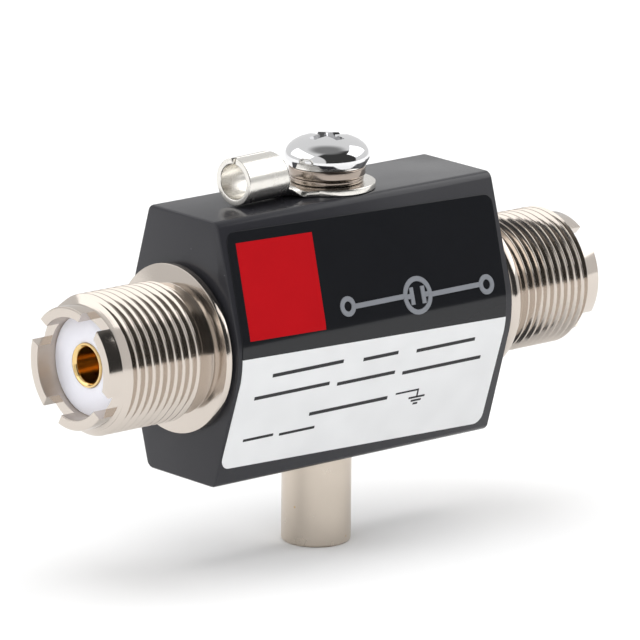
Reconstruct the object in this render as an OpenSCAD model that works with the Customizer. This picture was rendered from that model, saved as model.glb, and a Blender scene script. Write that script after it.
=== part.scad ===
// Coax lightning arrestor: a six-sided metal block with a threaded coax socket at each end,
// a gas tube held by a screwed cap below, and an earth screw with a ring lug on top.
// X runs along the coax line, -Y is the labelled front and Z is up. Sizes are in millimetres.
// The part stands on the flat end of its cap, and the origin is at the middle of its foot print.

/* [Housing] */
// Length of the block along the coax line
housing_length = 40.7; // [36:0.1:60]
// Height of the block
housing_height = 30.4; // [29.5:0.1:40]
// Depth of the flat top and bottom faces
housing_flat_depth = 11.8; // [9:0.1:16]
// Depth across the middle creases, measured to their sharp corners
housing_crease_depth = 20.7; // [20:0.1:28]
// Radius that rounds the middle creases
crease_radius = 10; // [3:0.5:14]
// Radius that rounds the long edges of the top and bottom
edge_radius = 1; // [0.3:0.1:2]

/* [Coax line] */
// Diameter of the bore that the line runs through
line_bore_d = 11.5; // [10.5:0.1:12.5]
// Diameter of the centre conductor
conductor_d = 5; // [4.5:0.1:6]

/* [Socket shells] */
// Outside diameter of the coupling thread
thread_d = 15.875; // [15.2:0.005:17]
// Length of the coupling thread
thread_length = 10.3; // [7:0.1:14]
// Pitch of the coupling thread, 24 to the inch
thread_pitch = 1.058; // [0.9:0.001:1.4]
// Depth of the coupling thread
thread_depth = 0.6; // [0.3:0.01:0.65]
// Length of the chamfer from the thread down to the rim
chamfer_length = 0.8; // [0.4:0.1:1.4]
// Diameter of the smooth neck between flange and thread
neck_d = 14.8; // [14.2:0.1:15.6]
// Length of the smooth neck
neck_length = 1.6; // [1:0.1:5]
// Inset of the flange's edge from the creases of the block
flange_inset = 0.23; // [0.1:0.01:1]
// Thickness of the flange's rim
flange_thickness = 1; // [0.6:0.1:2]
// Length of the chamfer behind the flange's rim
flange_relief = 0.5; // [0.2:0.05:1]
// Outside diameter of the notched rim
rim_d = 13.9; // [12.8:0.1:14.6]
// Length of the notched rim, which is also the depth of its notches
rim_length = 1.8; // [1:0.1:3]
// Inside diameter of the rim and of the bore behind it
mouth_d = 11.5; // [11:0.1:12]
// Number of notches round the rim
notch_count = 4; // [2:1:6]
// Width of a notch
notch_width = 3; // [1:0.1:3.6]
// Turn of the left notches from straight up, towards the front
left_notch_turn = 29.5; // [0:0.5:90]
// Turn of the right notches from straight up, towards the front
right_notch_turn = 45; // [0:0.5:90]
// Diameter of the spigot that is pressed into the block
spigot_d = 14; // [13:0.1:14.8]
// Length of the spigot
spigot_length = 5; // [3:0.1:7]
// Diameter of the narrower bore through the flange and the spigot
rear_bore_d = 10; // [9:0.1:10.6]
// Distance from the end of the block to the shoulder that the insulator seats on
shoulder_offset = 2; // [1:0.1:4]

/* [Contacts] */
// Depth of the insulator's face behind the front of the rim
insulator_recess = 2.5; // [2:0.1:4]
// Height of the contact above the insulator's face
contact_proud = 0.2; // [0:0.05:1]
// Outside diameter of the contact
contact_d = 5; // [4.7:0.1:6]
// Diameter of the hole that takes the plug's pin
socket_d = 4; // [3.6:0.05:4.2]
// Depth of that hole
socket_depth = 9; // [6:0.1:11]
// Width of the chamfer round the mouth of the hole
socket_lead_in = 0.3; // [0.1:0.05:0.3]
// Diameter of the tail soldered into the centre conductor
tail_d = 2.6; // [2:0.1:3.4]
// Length of the tail
tail_length = 3; // [2:0.1:6]

/* [Earth screw] */
// Offset of the earth screw from the middle of the block
screw_x = 0.75; // [-3:0.05:3]
// Thread diameter of the screw
screw_d = 5; // [4:0.1:5]
// Length of the screw below its head
screw_length = 9.6; // [8:0.1:10.5]
// Diameter of the head
screw_head_d = 9.6; // [9:0.1:11]
// Inset of the head's seat from its rim
screw_undercut = 0.6; // [0.2:0.05:0.9]
// Height of the head's rim above its seat
screw_rim_height = 0.9; // [0.3:0.05:1.2]
// Height of the head's dome above the rim
screw_dome_height = 2.75; // [2.2:0.05:3.4]
// Length of each arm pair of the cross recess
recess_length = 4.6; // [3.5:0.1:5.2]
// Width of the arms of the cross recess
recess_width = 1.1; // [0.8:0.05:1.5]
// Depth of the cross recess
recess_depth = 1.9; // [1.2:0.05:2.2]
// Outside diameter of the spring washer
spring_washer_d = 8.7; // [7.5:0.1:9]
// Thickness of the spring washer
spring_washer_thickness = 1.15; // [0.8:0.05:1.4]
// Width of the split in the spring washer
spring_washer_split = 0.5; // [0.2:0.05:1]
// Outside diameter of the flat washer
flat_washer_d = 8.3; // [7.5:0.1:10]
// Thickness of the flat washer
flat_washer_thickness = 0.6; // [0.6:0.05:1.4]

/* [Ring lug] */
// Thickness of the lug's sheet
lug_sheet = 0.7; // [0.5:0.05:0.9]
// Diameter of the ring end
lug_ring_d = 11; // [9:0.1:11.6]
// Width of the tongue across the screw's axis, from where it tapers to the barrel
tongue_root_width = 9.9; // [7:0.1:10.4]
// Width of the tongue where it meets the barrel
tongue_width = 3.3; // [2:0.1:4.6]
// Turn of the barrel from the left towards the front
lug_turn = 4.5; // [-30:0.5:30]
// Outside diameter of the barrel
barrel_d = 5.4; // [5:0.1:6.4]
// Length of the barrel
barrel_length = 5.8; // [4:0.1:8]
// Distance from the screw's axis to the mouth of the barrel
barrel_reach = 14.5; // [13.5:0.1:18]
// Width of the butt seam along the top of the barrel
seam_width = 0.15; // [0.05:0.05:0.4]

/* [Gas tube] */
// Offset of the cap from the middle of the block
cap_x = -0.35; // [-3:0.05:3]
// Diameter of the cap
cap_d = 7.95; // [7.5:0.05:8.6]
// Length of the cap below the block
cap_length = 10.6; // [6:0.1:16]
// Radius of the cap's lower edge
cap_edge_radius = 0.4; // [0.1:0.05:1]
// Length of the cap's threaded part inside the block
cap_thread_length = 8.9; // [7:0.1:9.2]
// Diameter of the bore in the cap
cap_bore_d = 6; // [5.8:0.05:6.6]
// Depth of the bore in the cap
cap_bore_depth = 8.3; // [6:0.1:10]
// Diameter of the gas tube
tube_d = 5.5; // [5:0.1:5.6]
// Length of the gas tube with its electrodes
tube_length = 6; // [5:0.1:7]
// Height of each electrode
electrode_height = 1; // [0.6:0.1:1.6]
// Wire diameter of the contact spring
spring_wire_d = 0.5; // [0.3:0.05:0.6]
// Outside diameter of the contact spring
spring_d = 4.6; // [4:0.1:5.2]
// Number of turns of the contact spring
spring_turns = 5; // [3:1:6]

/* [Label] */
// Inset of the film's ends from the ends of the block
label_end_inset = 0.8; // [0.75:0.05:5]
// Height of the film along the surface
label_height = 28; // [16:0.1:28.4]
// Turn of the film, right end down
label_tilt = 1.7; // [0:0.1:2]
// Offset of the film's middle from the middle of the block
label_x = -0.3; // [-0.3:0.05:0.3]
// Radius of the film's corners
label_corner_radius = 1.2; // [0.4:0.1:4]
// Thickness of the film
label_thickness = 0.12; // [0.05:0.01:0.3]

/* [Clearances] */
// Radial clearance of the moving threads
thread_clearance = 0.05; // [0.03:0.01:0.1]
// Radial clearance round the screw in the washers and the lug
hole_clearance = 0.15; // [0.1:0.01:0.4]
// Clearance of pieces that are pressed or soldered into each other
fit_clearance = 0.03; // [0.01:0.01:0.06]
// Gap between faces that bear on each other and can move apart
seat_clearance = 0.05; // [0.03:0.01:0.1]
// Thickness of the adhesive under the label
adhesive = 0.02; // [0.01:0.01:0.05]
// Free depth below the tip of the earth screw
screw_run_out = 0.9; // [0.5:0.1:1.2]

/* [Hidden] */

$fn = 96;
// How far a cutter runs past the face that it opens
over = 1;
// Points along a rounded edge, a rounded crease and the dome of the screw
edge_steps = 6;
crease_steps = 16;
dome_steps = 12;
// Rings in one turn of the contact spring, and sides of its wire
spring_steps = 14;
wire_sides = 6;

// Heights of the block's faces and of the coax line
bottom_z = cap_length;
line_z = bottom_z + housing_height / 2;
top_z = bottom_z + housing_height;
end_x = housing_length / 2;

// Slant of the front and back faces, and half the depth between the rounded creases
slant_run = (housing_crease_depth - housing_flat_depth) / 2;
slant_angle = atan2(slant_run, housing_height / 2);
crease_half = housing_crease_depth / 2 - crease_radius * (1 / cos(slant_angle) - 1);
flange_d = 2 * (crease_half - flange_inset);

// Stations along a shell, from the end of the block outwards
neck_start = flange_relief + flange_thickness;
thread_start = neck_start + neck_length;
thread_end = thread_start + thread_length;
rim_start = thread_end + chamfer_length;
// The thread is a row of ring grooves at its pitch, with 30 degree flanks and this flat at the bottom
thread_root = 0.1;
groove_half = thread_root / 2 + thread_depth * tan(30);
groove_count = floor((thread_length - thread_pitch / 4) / thread_pitch);
first_groove = thread_start + (thread_length - (groove_count - 1) * thread_pitch) / 2;
shell_reach = rim_start + rim_length;
insulator_front = shell_reach - insulator_recess;
contact_front = insulator_front + contact_proud;

// Stack under the head of the earth screw
lug_z = top_z + seat_clearance;
flat_washer_z = lug_z + lug_sheet + seat_clearance;
spring_washer_z = flat_washer_z + flat_washer_thickness + seat_clearance;
screw_head_z = spring_washer_z + spring_washer_thickness + seat_clearance;
screw_tip_z = screw_head_z - screw_length;
screw_hole_d = screw_d + 2 * hole_clearance;

// The barrel's wall is the lug's sheet, and its underside lies just inside the sheet's
barrel_bore_d = barrel_d - 2 * lug_sheet;
barrel_lift = 0.1;
barrel_axis_z = lug_z + barrel_lift + barrel_d / 2;
barrel_start = barrel_reach - barrel_length;
// The neck is pressed with this many flats inside
neck_flats = 12;

// Length of the film
label_length = housing_length - 2 * label_end_inset;

// Heights of the gas tube and its spring
tube_top_z = line_z - conductor_d / 2 - seat_clearance;
tube_bottom_z = tube_top_z - tube_length;
cap_top_z = bottom_z + cap_thread_length;
cap_floor_z = cap_top_z - cap_bore_depth;
spring_bottom_z = cap_floor_z + seat_clearance;
spring_length = tube_bottom_z - spring_bottom_z;

// Points of an arc about centre c, from angle a to angle b
function arc(c, r, a, b, steps) =
    [for (i = [0 : steps]) c + r * [cos(a + (b - a) * i / steps), sin(a + (b - a) * i / steps)]];

// One face of the block's section, from the bottom edge over the crease to the top edge, as [depth, height]
// points about the coax line. The faces on the other side are its mirror image. Grow moves it outwards.
function slant_profile(grow) =
    let(
        half = housing_height / 2,
        edge_inset = edge_radius * tan(45 - slant_angle / 2),
        edge_c = [housing_flat_depth / 2 - edge_inset, half - edge_radius],
        crease_c = [housing_crease_depth / 2 - crease_radius / cos(slant_angle), 0]
    )
    concat(
        arc([edge_c.x, -edge_c.y], edge_radius + grow, -90, -slant_angle, edge_steps),
        arc(crease_c, crease_radius + grow, -slant_angle, slant_angle, crease_steps),
        arc(edge_c, edge_radius + grow, slant_angle, 90, edge_steps)
    );

// Points of a rounded rectangle about the origin
function rounded_rectangle(size, r) =
    let(c = size / 2 - [r, r])
    concat(
        arc([c.x, c.y], r, 0, 90, edge_steps),
        arc([-c.x, c.y], r, 90, 180, edge_steps),
        arc([-c.x, -c.y], r, 180, 270, edge_steps),
        arc([c.x, -c.y], r, 270, 360, edge_steps)
    );

// Stands a [depth, height] section on the coax line and extrudes it along the block
module along_block(length) {
    translate([-length / 2, 0, line_z])
        rotate([90, 0, 90])
            linear_extrude(length)
                children();
}

// Lays a piece that was drawn along +Z on the coax line, outwards from the left or right end of the block
module at_end(side) {
    translate([side * end_x, 0, line_z])
        rotate([0, side * 90, 0])
            children();
}

// A ring that stands on height z
module ring(outer_d, inner_d, z, thickness) {
    translate([0, 0, z])
        difference() {
            cylinder(d = outer_d, h = thickness);
            translate([0, 0, -over])
                cylinder(d = inner_d, h = thickness + 2 * over);
        }
}

module housing() {
    front = slant_profile(0);
    count = len(front);
    back = [for (i = [count - 1 : -1 : 0]) [-front[i].x, front[i].y]];
    color("#1d1d20")
        difference() {
            along_block(housing_length)
                polygon(concat(front, back));
            translate([-end_x - over, 0, line_z])
                rotate([0, 90, 0])
                    cylinder(d = line_bore_d, h = housing_length + 2 * over);
            for (side = [-1, 1])
                at_end(side)
                    translate([0, 0, -spigot_length - seat_clearance])
                        cylinder(d = spigot_d + 2 * fit_clearance, h = spigot_length + seat_clearance + over);
            translate([screw_x, 0, screw_tip_z - screw_run_out])
                cylinder(d = screw_d + 2 * thread_clearance, h = top_z - screw_tip_z + screw_run_out + over);
            translate([cap_x, 0, bottom_z - over])
                cylinder(d = cap_d + 2 * thread_clearance, h = line_z - bottom_z + over);
        }
}

// A film that follows the front of the block, cut to a turned rounded rectangle as seen from the front
module front_label() {
    inner = slant_profile(adhesive);
    outer = slant_profile(adhesive + label_thickness);
    count = len(inner);
    film = concat(
        [for (p = outer) [-p.x, p.y]],
        [for (i = [count - 1 : -1 : 0]) [-inner[i].x, inner[i].y]]
    );
    color("#121316")
        intersection() {
            along_block(housing_length)
                polygon(film);
            translate([label_x, 0, line_z])
                rotate([90, label_tilt, 0])
                    linear_extrude(housing_crease_depth)
                        polygon(rounded_rectangle(
                            [label_length, label_height * cos(slant_angle)], label_corner_radius));
        }
}

// Section of one groove of the coupling thread, with its middle at a station along the shell
function groove(station) = [
    [thread_d / 2, station - groove_half],
    [thread_d / 2 - thread_depth, station - thread_root / 2],
    [thread_d / 2 - thread_depth, station + thread_root / 2],
    [thread_d / 2, station + groove_half]
];

// A socket shell drawn along +Z from the end face of the block
module shell(notch_turn) {
    color("#cfc8bf")
        difference() {
            rotate_extrude()
                polygon([
                    [rear_bore_d / 2, -spigot_length],
                    [spigot_d / 2, -spigot_length],
                    [spigot_d / 2, 0],
                    [flange_d / 2 - flange_relief, 0],
                    [flange_d / 2, flange_relief],
                    [flange_d / 2, neck_start],
                    [neck_d / 2, neck_start],
                    [neck_d / 2, thread_start],
                    [thread_d / 2, thread_start],
                    for (i = [0 : groove_count - 1])
                        each groove(first_groove + i * thread_pitch),
                    [thread_d / 2, thread_end],
                    [rim_d / 2, rim_start],
                    [rim_d / 2, shell_reach],
                    [mouth_d / 2, shell_reach],
                    [mouth_d / 2, shoulder_offset],
                    [rear_bore_d / 2, shoulder_offset]
                ]);
            for (i = [0 : notch_count - 1])
                rotate([0, 0, notch_turn + 360 * i / notch_count])
                    translate([0, -notch_width / 2, rim_start])
                        cube([rim_d, notch_width, rim_length + over]);
        }
}

// Turns that bring a notch from the shell's own +X to straight up and then towards the front
module left_shell() {
    at_end(-1)
        shell(-left_notch_turn);
}

module right_shell() {
    at_end(1)
        shell(180 + right_notch_turn);
}

module insulator(side) {
    hole = contact_d / 2 + fit_clearance;
    rear = rear_bore_d / 2 - fit_clearance;
    front = mouth_d / 2 - fit_clearance;
    seat = shoulder_offset + fit_clearance;
    color("#e9e9ef")
        at_end(side)
            rotate_extrude()
                polygon([
                    [hole, -spigot_length],
                    [rear, -spigot_length],
                    [rear, seat],
                    [front, seat],
                    [front, insulator_front],
                    [hole, insulator_front]
                ]);
}

module left_insulator() {
    insulator(-1);
}

module right_insulator() {
    insulator(1);
}

module contact(side) {
    socket_floor = contact_front - socket_depth;
    color("#d9a84e")
        at_end(side)
            rotate_extrude()
                polygon([
                    [0, -spigot_length - tail_length],
                    [tail_d / 2, -spigot_length - tail_length],
                    [tail_d / 2, -spigot_length],
                    [contact_d / 2, -spigot_length],
                    [contact_d / 2, contact_front],
                    [socket_d / 2 + socket_lead_in, contact_front],
                    [socket_d / 2, contact_front - socket_lead_in],
                    [socket_d / 2, socket_floor],
                    [0, socket_floor]
                ]);
}

module left_contact() {
    contact(-1);
}

module right_contact() {
    contact(1);
}

module centre_conductor() {
    length = housing_length - 2 * spigot_length;
    color("#c9a24a")
        difference() {
            translate([-length / 2, 0, line_z])
                rotate([0, 90, 0])
                    cylinder(d = conductor_d, h = length);
            for (side = [-1, 1])
                at_end(side)
                    translate([0, 0, -spigot_length - tail_length - fit_clearance])
                        cylinder(d = tail_d + 2 * fit_clearance, h = tail_length + fit_clearance + over);
        }
}

// Pan head on a plain shank, with a cross recess that narrows towards its floor
module ground_screw() {
    dome_r = (pow(screw_head_d / 2, 2) + pow(screw_dome_height, 2)) / (2 * screw_dome_height);
    dome_angle = asin(screw_head_d / 2 / dome_r);
    head_height = screw_rim_height + screw_dome_height;
    dome = arc([0, head_height - dome_r], dome_r, 90 - dome_angle, 90, dome_steps);
    color("#c8c9cc")
        translate([screw_x, 0, screw_head_z])
            difference() {
                rotate_extrude()
                    polygon(concat([
                        [0, -screw_length],
                        [screw_d / 2, -screw_length],
                        [screw_d / 2, 0],
                        [screw_head_d / 2 - screw_undercut, 0]
                    ], dome));
                translate([0, 0, head_height - recess_depth])
                    intersection() {
                        cylinder(d1 = recess_width, d2 = recess_length, h = recess_depth);
                        for (turn = [0, 90])
                            rotate([0, 0, turn])
                                translate([-recess_length / 2, -recess_width / 2, 0])
                                    cube([recess_length, recess_width, recess_depth]);
                    }
            }
}

module spring_washer() {
    color("#b9ada3")
        translate([screw_x, 0, 0])
            difference() {
                ring(spring_washer_d, screw_hole_d, spring_washer_z, spring_washer_thickness);
                translate([0, -spring_washer_split / 2, spring_washer_z - over])
                    cube([spring_washer_d, spring_washer_split, spring_washer_thickness + 2 * over]);
            }
}

module flat_washer() {
    color("#c6bbb0")
        translate([screw_x, 0, 0])
            ring(flat_washer_d, screw_hole_d, flat_washer_z, flat_washer_thickness);
}

// The barrel's outer or inner round, drawn along +X from the ring's edge to the mouth
module barrel_round(d, start, end) {
    translate([start, 0, barrel_axis_z - lug_z])
        rotate([0, 90, 0])
            cylinder(d = d, h = end - start);
}

// Ring and tongue are one flat sheet. The neck is the lower part of the rolled barrel, cut on a slant
// from the sheet at the ring's edge to the full barrel.
module ground_lug() {
    ring_edge = lug_ring_d / 2;
    barrel_top = barrel_lift + barrel_d;
    color("#dcd8d0")
        translate([screw_x, 0, lug_z])
            rotate([0, 0, 180 + lug_turn])
                difference() {
                    union() {
                        cylinder(d = lug_ring_d, h = lug_sheet);
                        linear_extrude(lug_sheet)
                            polygon([
                                [0, -tongue_root_width / 2],
                                [barrel_start, -tongue_width / 2],
                                [barrel_start, tongue_width / 2],
                                [0, tongue_root_width / 2]
                            ]);
                        difference() {
                            barrel_round(barrel_d, ring_edge, barrel_reach);
                            translate([0, barrel_d, 0])
                                rotate([90, 0, 0])
                                    linear_extrude(2 * barrel_d)
                                        polygon([
                                            [ring_edge - over, lug_sheet],
                                            [ring_edge, lug_sheet],
                                            [barrel_start, barrel_top],
                                            [barrel_start, barrel_top + over],
                                            [ring_edge - over, barrel_top + over]
                                        ]);
                        }
                    }
                    barrel_round(barrel_bore_d, barrel_start, barrel_reach + over);
                    barrel_round(barrel_bore_d - 2 * fit_clearance, ring_edge - over, barrel_start + over,
                        $fn = neck_flats);
                    translate([0, 0, -over])
                        cylinder(d = screw_hole_d, h = lug_sheet + 2 * over);
                    translate([barrel_start - over, -seam_width / 2, barrel_axis_z - lug_z])
                        cube([barrel_length + 2 * over, seam_width, barrel_d]);
                }
}

// A turned cap with a blind bore for the gas tube and its spring
module gas_tube_cap() {
    foot_edge = arc([cap_d / 2 - cap_edge_radius, cap_edge_radius], cap_edge_radius, -90, 0, edge_steps);
    color("#c4b8ab")
        translate([cap_x, 0, 0])
            rotate_extrude()
                polygon(concat([[0, 0]], foot_edge, [
                    [cap_d / 2, cap_top_z],
                    [cap_bore_d / 2, cap_top_z],
                    [cap_bore_d / 2, cap_floor_z],
                    [0, cap_floor_z]
                ]));
}

module electrode(z) {
    color("#b8b8bb")
        translate([cap_x, 0, z])
            cylinder(d = tube_d, h = electrode_height);
}

module gas_tube_upper_electrode() {
    electrode(tube_top_z - electrode_height);
}

module gas_tube_lower_electrode() {
    electrode(tube_bottom_z);
}

// The tube is hollow between its electrodes: its wall is as thick as an electrode is high
module gas_tube_ceramic() {
    color("#efe9dc")
        translate([cap_x, 0, 0])
            ring(tube_d, tube_d - 2 * electrode_height, tube_bottom_z + electrode_height,
                tube_length - 2 * electrode_height);
}

// One closed wire swept along a helix, from the floor of the cap to the gas tube
module contact_spring() {
    coil_r = (spring_d - spring_wire_d) / 2;
    wire_r = spring_wire_d / 2;
    rings = spring_turns * spring_steps;
    rise = spring_length - spring_wire_d;
    points = [
        for (i = [0 : rings])
            for (k = [0 : wire_sides - 1])
                let(
                    turn = 360 * i / spring_steps,
                    around = 360 * k / wire_sides,
                    r = coil_r + wire_r * cos(around)
                )
                [r * cos(turn), r * sin(turn), wire_r + rise * i / rings + wire_r * sin(around)]
    ];
    sides = [
        for (i = [0 : rings - 1])
            for (k = [0 : wire_sides - 1])
                let(
                    a = i * wire_sides + k,
                    b = i * wire_sides + (k + 1) % wire_sides
                )
                each [[a, b, a + wire_sides], [b, b + wire_sides, a + wire_sides]]
    ];
    first_end = [for (k = [wire_sides - 1 : -1 : 0]) k];
    last_end = [for (k = [0 : wire_sides - 1]) rings * wire_sides + k];
    color("#8f8f94")
        translate([cap_x, 0, spring_bottom_z])
            polyhedron(points, concat(sides, [first_end, last_end]));
}

housing();
front_label();
left_shell();
right_shell();
left_insulator();
right_insulator();
left_contact();
right_contact();
centre_conductor();
ground_screw();
spring_washer();
flat_washer();
ground_lug();
gas_tube_cap();
gas_tube_upper_electrode();
gas_tube_ceramic();
gas_tube_lower_electrode();
contact_spring();
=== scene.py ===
"""Looks of a coax lightning arrestor, modelled round its packed CAD solids and laid out as an add-on."""
import math
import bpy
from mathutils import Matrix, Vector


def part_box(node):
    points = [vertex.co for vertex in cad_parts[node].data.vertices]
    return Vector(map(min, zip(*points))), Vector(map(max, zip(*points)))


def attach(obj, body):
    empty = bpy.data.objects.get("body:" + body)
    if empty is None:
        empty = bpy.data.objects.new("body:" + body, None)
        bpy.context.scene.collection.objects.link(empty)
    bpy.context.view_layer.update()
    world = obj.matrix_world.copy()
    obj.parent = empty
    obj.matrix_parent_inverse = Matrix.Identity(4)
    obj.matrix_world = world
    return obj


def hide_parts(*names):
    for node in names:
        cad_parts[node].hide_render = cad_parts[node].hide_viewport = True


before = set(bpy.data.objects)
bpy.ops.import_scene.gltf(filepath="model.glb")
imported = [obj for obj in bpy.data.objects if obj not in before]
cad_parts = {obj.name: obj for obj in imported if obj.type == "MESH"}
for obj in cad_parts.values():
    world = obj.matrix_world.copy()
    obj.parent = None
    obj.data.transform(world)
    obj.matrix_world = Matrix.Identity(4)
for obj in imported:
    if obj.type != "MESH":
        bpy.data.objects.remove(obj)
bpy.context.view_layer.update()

from types import SimpleNamespace

import bmesh
import bpy
from mathutils import Matrix, Vector

bl_info = {
    "name": "Coax Lightning Arrestor",
    "version": (1, 0, 0),
    "blender": (4, 5, 0),
    "location": "3D View > Sidebar > Arrestor",
    "description": "Models the visible pieces of a coax lightning arrestor round its CAD solids",
    "category": "Object",
}

# Pieces are modelled in millimetres and brought to metres when they are done, because the tolerances of
# bevels and welds suit numbers of about that size.
MM = 0.001
WELD = 1e-4
OVERCUT = 2.0
TURN_STEPS = 128
THREAD_STEPS = 61
THREAD_ANGLE = math.radians(60.0)
CREASE_CUTS = 8
UPRIGHT = (0.0, -math.pi / 2, 0.0)
ALONG_LINE = (0.0, math.pi / 2, 0.0)
FACING_FRONT = (math.pi / 2, 0.0, 0.0)


# Places taken from the CAD solids, in millimetres

def solid_box(solid):
    """Lowest and highest corner of a CAD solid in millimetres."""
    low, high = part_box(solid)
    return low / MM, high / MM


BLOCK_LOW, BLOCK_HIGH = solid_box("housing")
LINE_Z = (BLOCK_LOW.z + BLOCK_HIGH.z) / 2
END_X = BLOCK_HIGH.x
SHELL_REACH = solid_box("right_shell")[1].x - END_X
SCREW_LOW, SCREW_HIGH = solid_box("ground_screw")
SCREW_X = (SCREW_LOW.x + SCREW_HIGH.x) / 2
SPRING_LOW, SPRING_HIGH = solid_box("spring_washer")
WASHER_LOW, WASHER_HIGH = solid_box("flat_washer")
LUG_LOW = solid_box("ground_lug")[0]
CAP_LOW, CAP_HIGH = solid_box("gas_tube_cap")
CAP_X = (CAP_LOW.x + CAP_HIGH.x) / 2


# Properties

def linear(value):
    """Turns an sRGB hex colour into linear RGBA."""
    channels = [int(value[i:i + 2], 16) / 255 for i in (1, 3, 5)]
    return tuple(c / 12.92 if c <= 0.04045 else ((c + 0.055) / 1.055) ** 2.4 for c in channels) + (1.0,)


def number(name, description, value, **kind):
    """A number, with a unit or subtype where one fits."""
    return bpy.props.FloatProperty(name=name, description=description, default=value, **kind)


def length(name, description, millimetres):
    """A size that the panel shows in the scene's own unit."""
    return number(name, description, millimetres * MM, precision=5, unit="LENGTH")


def turn(name, description, degrees):
    """An angle that the panel shows in degrees."""
    return number(name, description, math.radians(degrees), unit="ROTATION")


def colour(name, description, value):
    """A colour given as sRGB hex."""
    return bpy.props.FloatVectorProperty(
        name=name, description=description, default=linear(value), size=4, min=0.0, max=1.0, subtype="COLOR")


class BlockSizes(bpy.types.PropertyGroup):
    """Sizes of the six-sided block"""
    length: length("Length", "Length along the coax line", END_X * 2)
    height: length("Height", "Height between the flat faces", BLOCK_HIGH.z - BLOCK_LOW.z)
    flat_depth: length("Flat depth", "Depth of the flat top and bottom, to their sharp edges", 11.8)
    crease_depth: length("Crease depth", "Depth across the creases, to their sharp corners", 20.7)
    crease_radius: length("Crease radius", "Radius that rounds the creases", 10.0)
    edge_radius: length("Edge radius", "Radius of the long edges", 1.0)
    end_edge: length("End edge", "Width of the rounded edge round each end", 0.3)
    line_bore: length("Line bore", "Diameter of the bore for the line", 11.5)
    spigot_bore: length("Spigot bore", "Diameter of the bore for a shell's spigot", 14.06)
    spigot_depth: length("Spigot depth", "Depth of the bore for a shell's spigot", 5.05)
    screw_bore: length("Screw bore", "Diameter of the tapped hole for the earth screw", 5.1)
    screw_depth: length("Screw depth", "Depth of the tapped hole for the earth screw", 7.85)
    cap_bore: length("Cap bore", "Diameter of the hole for the cap", 8.05)


class SocketSizes(bpy.types.PropertyGroup):
    """Sizes of a socket: shell, insulator and contact, measured from the end of the block"""
    flange: length("Flange", "Diameter of the flange", 19.2)
    flange_thickness: length("Flange thickness", "Thickness of the flange's rim", 0.8)
    flange_relief: length("Flange relief", "Length of the chamfer behind the flange's rim", 0.7)
    neck: length("Neck", "Diameter of the smooth neck", 14.8)
    thread: length("Thread", "Diameter over the crests of the thread", 15.875)
    thread_root: length("Thread root", "Diameter at the bottom of the thread", 14.675)
    pitch: length("Pitch", "Pitch of the thread", 1.058)
    thread_start: length("Thread start", "Where the thread starts", 3.1)
    thread_lead: length("Thread lead", "Length of the taper up to the crests", 0.35)
    thread_end: length("Thread end", "Where the chamfer starts", 13.4)
    rim: length("Rim", "Outside diameter of the notched rim", 13.9)
    rim_start: length("Rim start", "Where the chamfer ends", 14.2)
    mouth: length("Mouth", "Inside diameter of the rim", 11.5)
    notch: length("Notch", "Width of a notch", 3.0)
    left_turn: turn("Left turn", "Turn of the left notches from upright towards the front", 29.5)
    right_turn: turn("Right turn", "Turn of the right notches from upright towards the front", 45.0)
    spigot: length("Spigot", "Diameter of the spigot in the block", 14.0)
    spigot_length: length("Spigot length", "Length of the spigot", 5.0)
    rear_bore: length("Rear bore", "Diameter of the bore through the spigot", 10.0)
    shoulder: length("Shoulder", "Where the insulator seats", 2.0)
    insulator_face: length("Insulator face", "Where the insulator ends", 13.5)
    contact: length("Contact", "Diameter of the contact", 5.0)
    contact_face: length("Contact face", "Where the contact ends", 13.7)
    socket: length("Pin hole", "Diameter of the hole for the pin", 4.0)
    socket_lead: length("Pin hole lead", "Width of the chamfer at the mouth of the pin hole", 0.3)
    socket_depth: length("Pin hole depth", "Depth of the hole for the pin", 9.0)
    tail: length("Tail", "Diameter of the contact's tail", 2.6)
    tail_length: length("Tail length", "Length of the contact's tail", 3.0)
    fit: length("Fit", "Gap between pieces that are pressed together", 0.03)


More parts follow.
